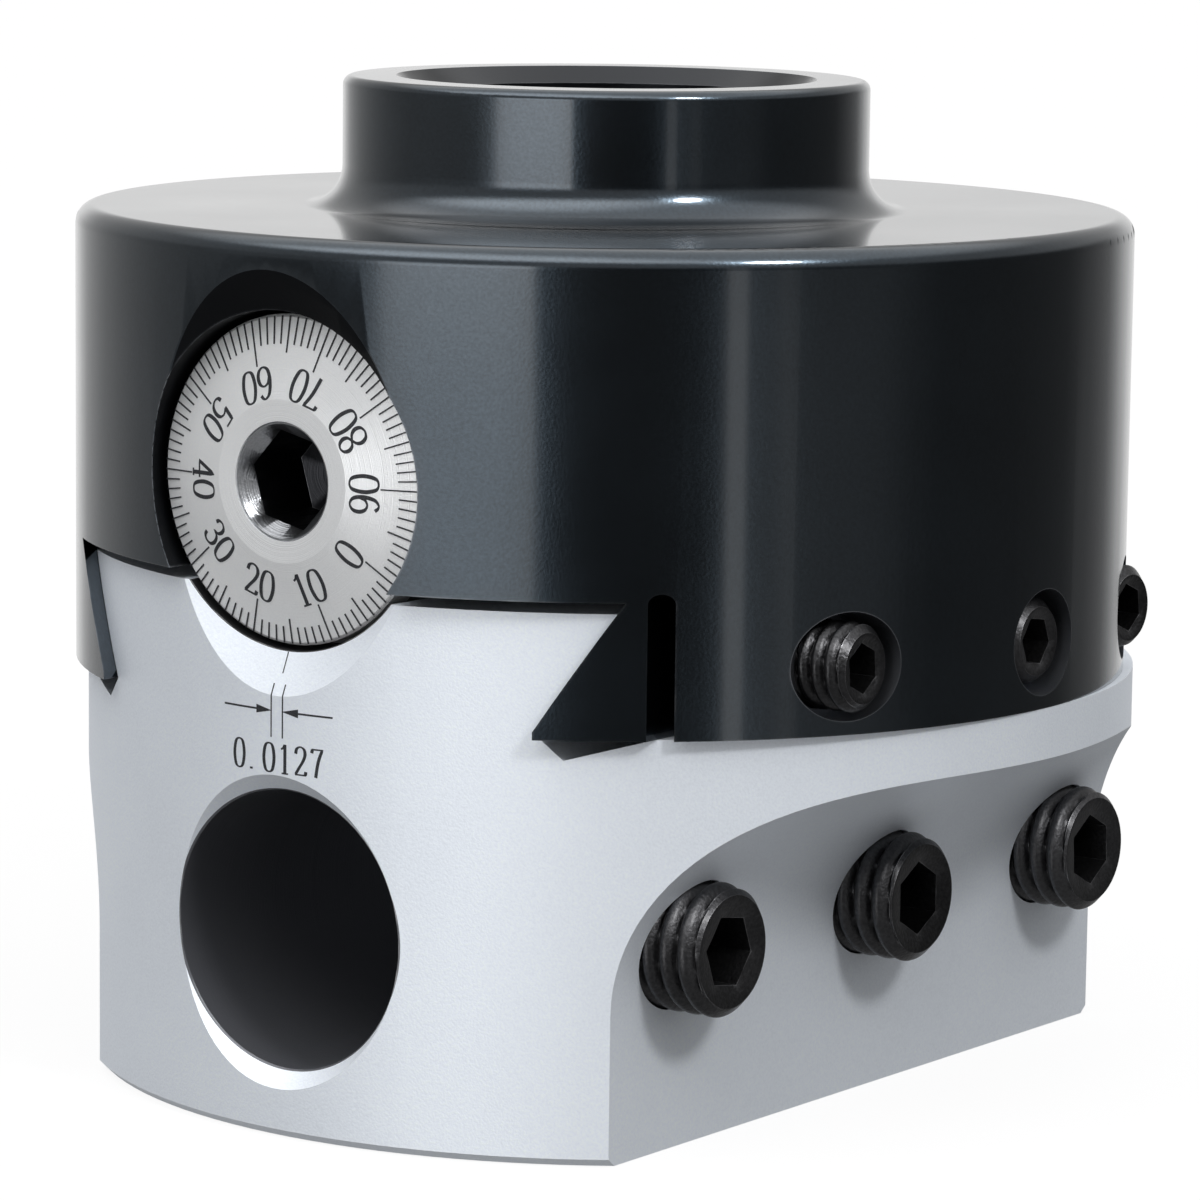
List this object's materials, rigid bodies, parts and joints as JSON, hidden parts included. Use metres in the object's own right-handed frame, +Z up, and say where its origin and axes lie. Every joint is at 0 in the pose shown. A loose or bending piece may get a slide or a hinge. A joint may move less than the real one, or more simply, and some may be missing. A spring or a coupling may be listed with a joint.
{
  "type": "boring head",
  "caption": "Round two-part offset boring head: threaded boss on top, dovetail slide with bar bores and clamp screws below, and a graduated dial screw in the side.",
  "frame": {"origin": "centre of the arbor boss's mouth, on the spindle axis", "axes": "+Z up along the spindle axis out of the arbor thread; the slide travels along Y and the dial faces -Y; clamp and gib screws face +X"},
  "size_m": [0.1, 0.1018, 0.0933],
  "materials": {
    "black_oxide_body": "blued, satin gloss",
    "satin_slide": "ground, fine satin",
    "satin_dial": "turned, satin chrome with black marks",
    "black_oxide_screws": "black oxide",
    "dark_steel": "hardened, dark",
    "ground_steel": "ground",
    "bronze": "machined"
  },
  "bodies": {
    "head": {"body": "black_oxide_body", "lead_nut": "bronze", "nut_lock_screw": "black_oxide_screws"},
    "slide_block": {"slide": "satin_slide", "screw_keeper": "ground_steel"},
    "dial_screw": {"leadscrew": "dark_steel", "dial": "satin_dial", "thrust_washer": "bronze"},
    "gib_screw_front": {"gib_screw_front": "black_oxide_screws"},
    "gib_lock_screw": {"gib_lock_screw": "black_oxide_screws"},
    "gib_screw_rear": {"gib_screw_rear": "black_oxide_screws"},
    "tool_screw_front": {"tool_screw_front": "black_oxide_screws"},
    "tool_screw_center": {"tool_screw_center": "black_oxide_screws"},
    "tool_screw_rear": {"tool_screw_rear": "black_oxide_screws"}
  },
  "joints": [
    {"name": "slide_travel", "type": "slide", "parent": "head", "child": "slide_block", "axis": [0, -1, 0], "range_m": [-0.0012, 0.0254]},
    {"name": "leadscrew_turn", "type": "hinge", "parent": "slide_block", "child": "dial_screw", "pos_m": [0, 0, -0.034], "axis": [0, -1, 0], "range_deg": [-345, 7205]},
    {"name": "gib_screw_front_travel", "type": "slide", "parent": "head", "child": "gib_screw_front", "axis": [1, 0, 0], "range_m": [0, 0.004]},
    {"name": "gib_lock_screw_travel", "type": "slide", "parent": "head", "child": "gib_lock_screw", "axis": [1, 0, 0], "range_m": [0, 0.004]},
    {"name": "gib_screw_rear_travel", "type": "slide", "parent": "head", "child": "gib_screw_rear", "axis": [1, 0, 0], "range_m": [0, 0.004]},
    {"name": "tool_screw_front_travel", "type": "slide", "parent": "slide_block", "child": "tool_screw_front", "axis": [1, 0, 0], "range_m": [-0.0015, 0.006]},
    {"name": "tool_screw_center_travel", "type": "slide", "parent": "slide_block", "child": "tool_screw_center", "axis": [1, 0, 0], "range_m": [-0.0015, 0.006]},
    {"name": "tool_screw_rear_travel", "type": "slide", "parent": "slide_block", "child": "tool_screw_rear", "axis": [1, 0, 0], "range_m": [-0.0015, 0.006]}
  ],
  "couplings": [
    {"joint": "leadscrew_turn", "follows": "slide_travel", "rad_per_m": 4947.4}
  ]
}
